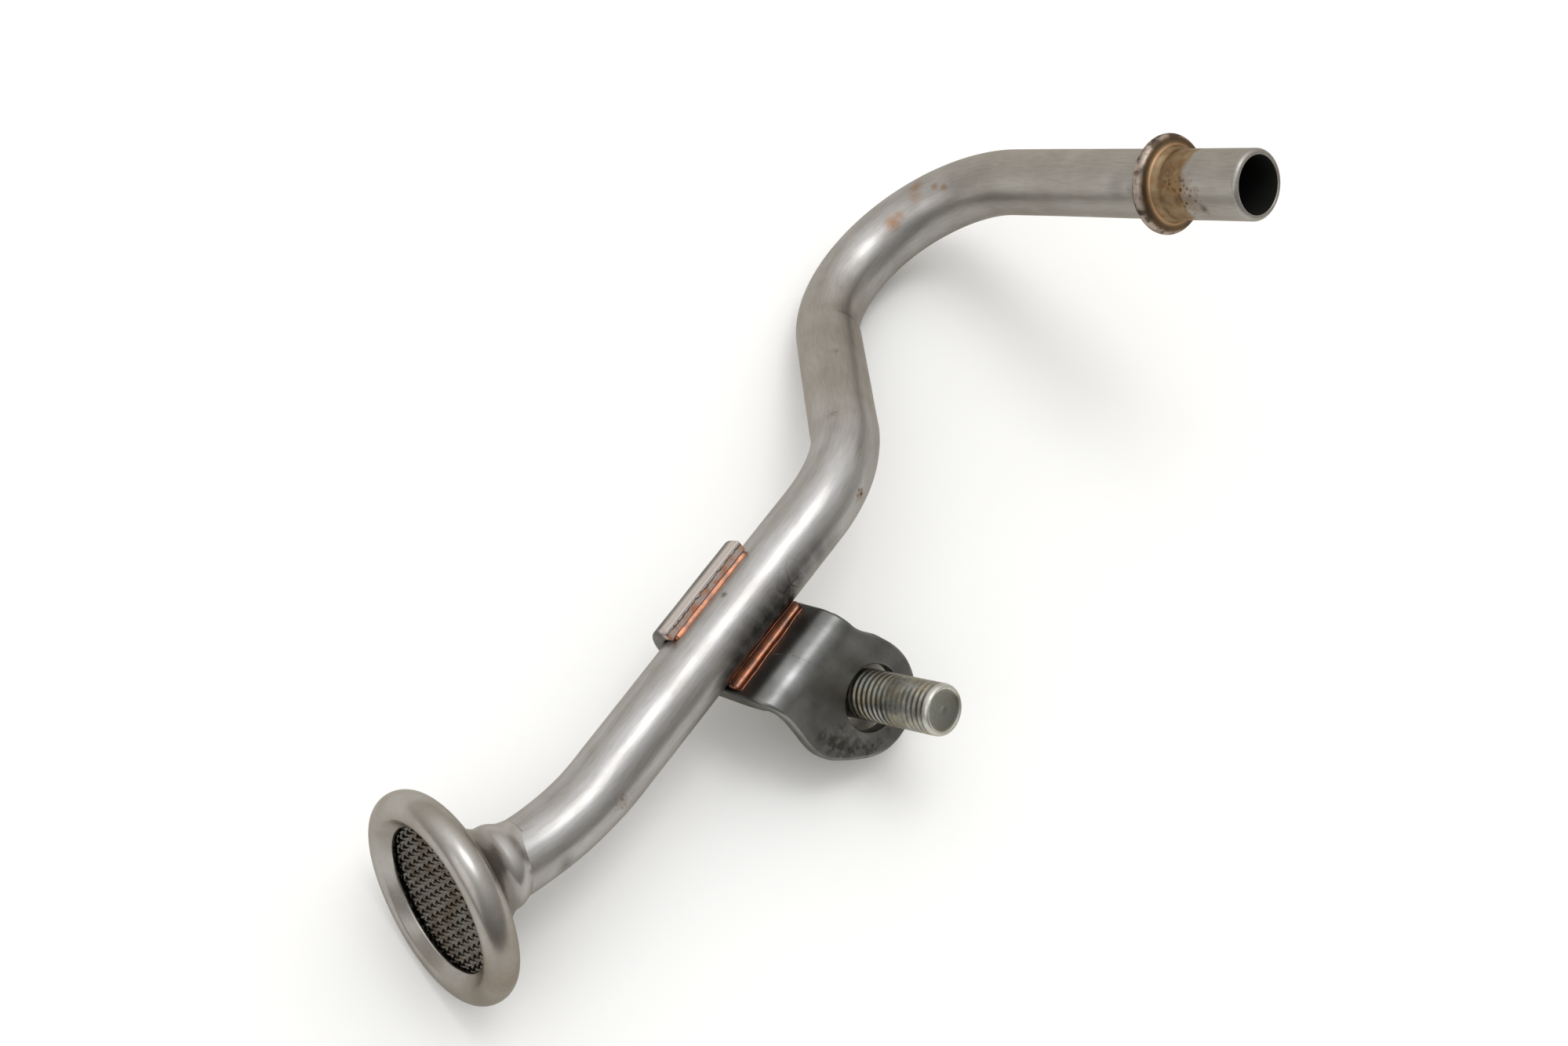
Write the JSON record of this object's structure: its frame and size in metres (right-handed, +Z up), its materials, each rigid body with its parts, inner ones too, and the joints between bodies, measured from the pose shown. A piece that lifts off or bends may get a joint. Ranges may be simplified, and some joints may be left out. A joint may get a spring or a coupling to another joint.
{
  "type": "oil scavenge pipe",
  "caption": "Bent steel oil pipe with a rolled bell mouth over a wire strainer screen, a brazed bracket with its flange bolt, and a beaded spigot end",
  "frame": {"origin": "centre of the bounding box at floor level, with the pipe lying as it rests", "axes": "+X runs along the pipe from the bell mouth to the spigot bend, +Z is up, and -Y is the side where the bracket and bolt lie; front is -Y"},
  "size_m": [0.1216, 0.0492, 0.0461],
  "materials": {
    "tube_steel": "satin drawn steel tube, warm grey, brown heat tint by the bead, small rust spots",
    "bell_steel": "satin pressed sheet steel, bright on the rolled rim and the neck",
    "screen_wire": "dark oily woven wire",
    "bracket_steel": "dark grey satin plate with brighter edges",
    "braze_copper": "flowed copper braze, bright and slightly lumpy",
    "bolt_zinc": "zinc plate with a faint yellow tint, worn on the thread crests"
  },
  "bodies": {
    "root": {"pipe": "tube_steel", "bell_mouth": "bell_steel", "strainer_screen": "screen_wire", "bracket": "bracket_steel", "braze_fillet_edge": "braze_copper", "braze_fillet_valley": "braze_copper", "bolt": "bolt_zinc"}
  },
  "joints": []
}
